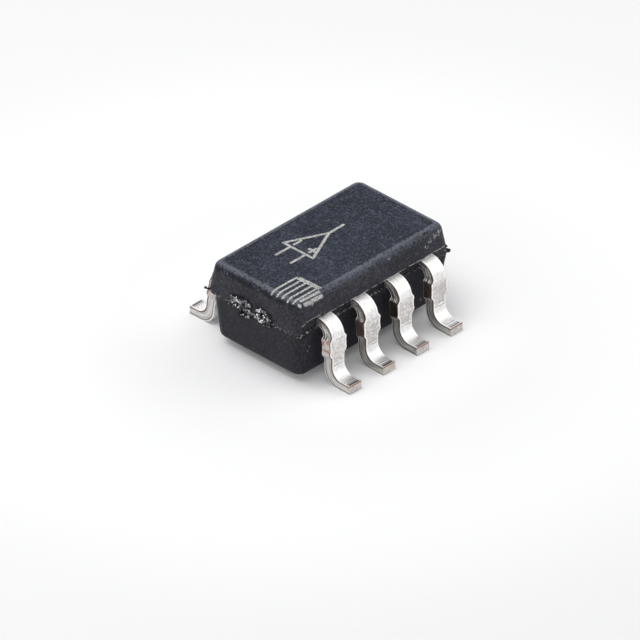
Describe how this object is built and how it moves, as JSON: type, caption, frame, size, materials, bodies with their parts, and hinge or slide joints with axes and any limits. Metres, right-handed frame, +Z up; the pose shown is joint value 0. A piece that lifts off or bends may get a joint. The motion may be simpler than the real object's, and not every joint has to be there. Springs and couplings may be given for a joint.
{
  "type": "operational amplifier",
  "caption": "Surface-mount operational amplifier in a small black moulded package with two rows of formed gull-wing leads and a pin-one mark.",
  "frame": {"origin": "seating plane under the leads' feet, at the centre of the lead pattern", "axes": "+X along the body and the lead rows, from the pin-one end; -Y towards leads 1 to 4; +Z up, away from the board"},
  "size_m": [0.003, 0.0028, 0.0013],
  "materials": {
    "moulding_compound": "matt, finely textured",
    "tin_plating": "satin tin plate on copper alloy",
    "copper_alloy": "satin, silver spot plate",
    "die_attach_epoxy": "matt, silver filled",
    "silicon": "polished",
    "gold_wire": "bright drawn"
  },
  "bodies": {
    "root": {"moulded_body": "moulding_compound", "lead_1": "tin_plating", "lead_2": "tin_plating", "lead_3": "tin_plating", "lead_4": "tin_plating", "lead_5": "tin_plating", "lead_6": "tin_plating", "lead_7": "tin_plating", "lead_8": "tin_plating", "die_pad": "copper_alloy", "die_attach": "die_attach_epoxy", "silicon_die": "silicon", "bond_wire_1": "gold_wire", "bond_wire_2": "gold_wire", "bond_wire_3": "gold_wire", "bond_wire_4": "gold_wire", "bond_wire_5": "gold_wire", "bond_wire_6": "gold_wire", "bond_wire_7": "gold_wire", "bond_wire_8": "gold_wire"}
  },
  "joints": []
}
